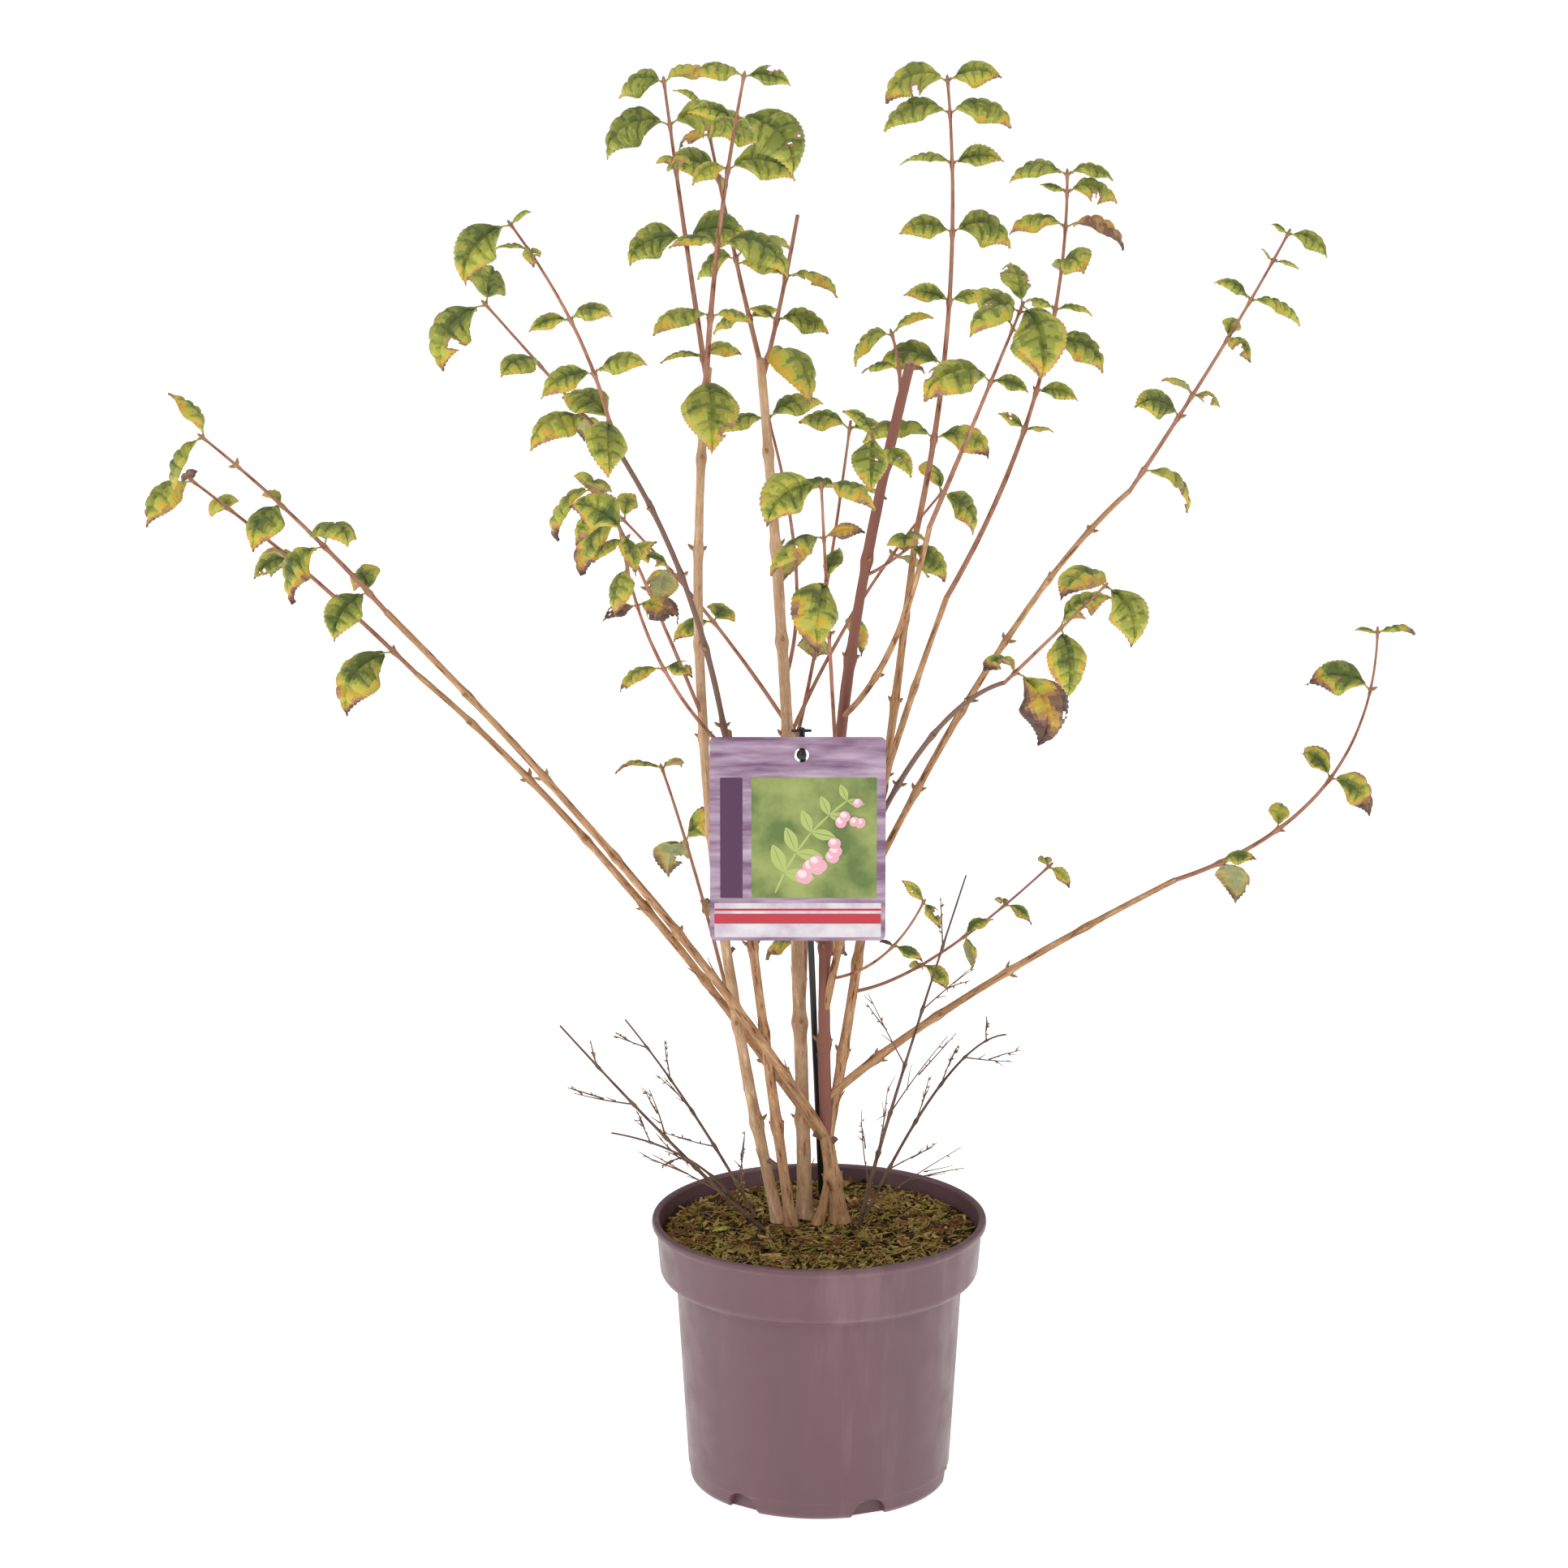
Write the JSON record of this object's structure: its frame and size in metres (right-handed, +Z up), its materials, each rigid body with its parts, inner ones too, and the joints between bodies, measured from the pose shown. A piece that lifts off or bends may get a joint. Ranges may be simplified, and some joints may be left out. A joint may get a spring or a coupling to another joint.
{
  "type": "potted mont rose deutzia",
  "caption": "Young mont rose deutzia shrub with arching canes and autumn leaves, standing in a round nursery pot with a label card.",
  "frame": {"origin": "middle of the pot's flat underside", "axes": "+Z up, -Y towards the viewer of the picture, +X to the viewer's right"},
  "size_m": [0.8719, 0.519, 1.0042],
  "materials": {
    "pot": "mauve taupe moulded plastic, soft sheen",
    "soil": "bark and moss potting mulch",
    "label_stick": "black plastic stick",
    "label_card": "printed stiff plastic card",
    "bark": "peeling tan bark",
    "bark_light": "pale straw bark",
    "bark_red": "dark red bark",
    "bark_dark": "dark brown bark",
    "foliage": "autumn leaves on thin twigs",
    "dry_twig": "dry grey brown twigs"
  },
  "bodies": {
    "root": {"pot": "pot", "soil": "soil", "label_stick": "label_stick", "label_card": "label_card", "trunk": "bark", "cane_red_pruned": "bark_red", "cane_right_tall": "bark", "cane_far_left_upper": "bark", "cane_far_left_lower": "bark", "cane_left_upright": "bark_light", "cane_centre": "bark_light", "cane_front_left": "bark", "cane_right_arching": "bark", "bough_far_right": "bark", "bough_low_right": "bark", "bough_front_right": "bark_dark", "bough_inner_right": "bark", "bough_left_dark": "bark_dark", "shoot_far_left_upper": "foliage", "shoot_far_left_lower": "foliage", "shoot_left_tall": "foliage", "shoot_left_tall_light": "foliage", "shoot_centre_back": "foliage", "shoot_centre_pruned": "foliage", "shoot_left_inner_up": "foliage", "shoot_left_inner_side": "foliage", "shoot_left_low_front": "foliage", "shoot_left_low": "foliage", "shoot_left_back": "foliage", "shoot_centre_thin": "foliage", "shoot_centre_right_back": "foliage", "shoot_centre_front": "foliage", "shoot_right_back": "foliage", "tuft_red_cane_top": "foliage", "tuft_red_cane_middle": "foliage", "tuft_red_cane_low": "foliage", "shoot_right_tall": "foliage", "shoot_right_arching": "foliage", "shoot_inner_right": "foliage", "shoot_far_right": "foliage", "shoot_front_right": "foliage", "shoot_low_right": "foliage", "shoot_low_right_back": "foliage", "shoot_low_right_front": "foliage", "shoot_low_back": "foliage", "shoot_low_back_left": "foliage", "dry_spray_left_low": "dry_twig", "dry_spray_left_rim": "dry_twig", "dry_spray_left_back": "dry_twig", "dry_spray_right": "dry_twig", "dry_spray_right_back": "dry_twig"}
  },
  "joints": []
}
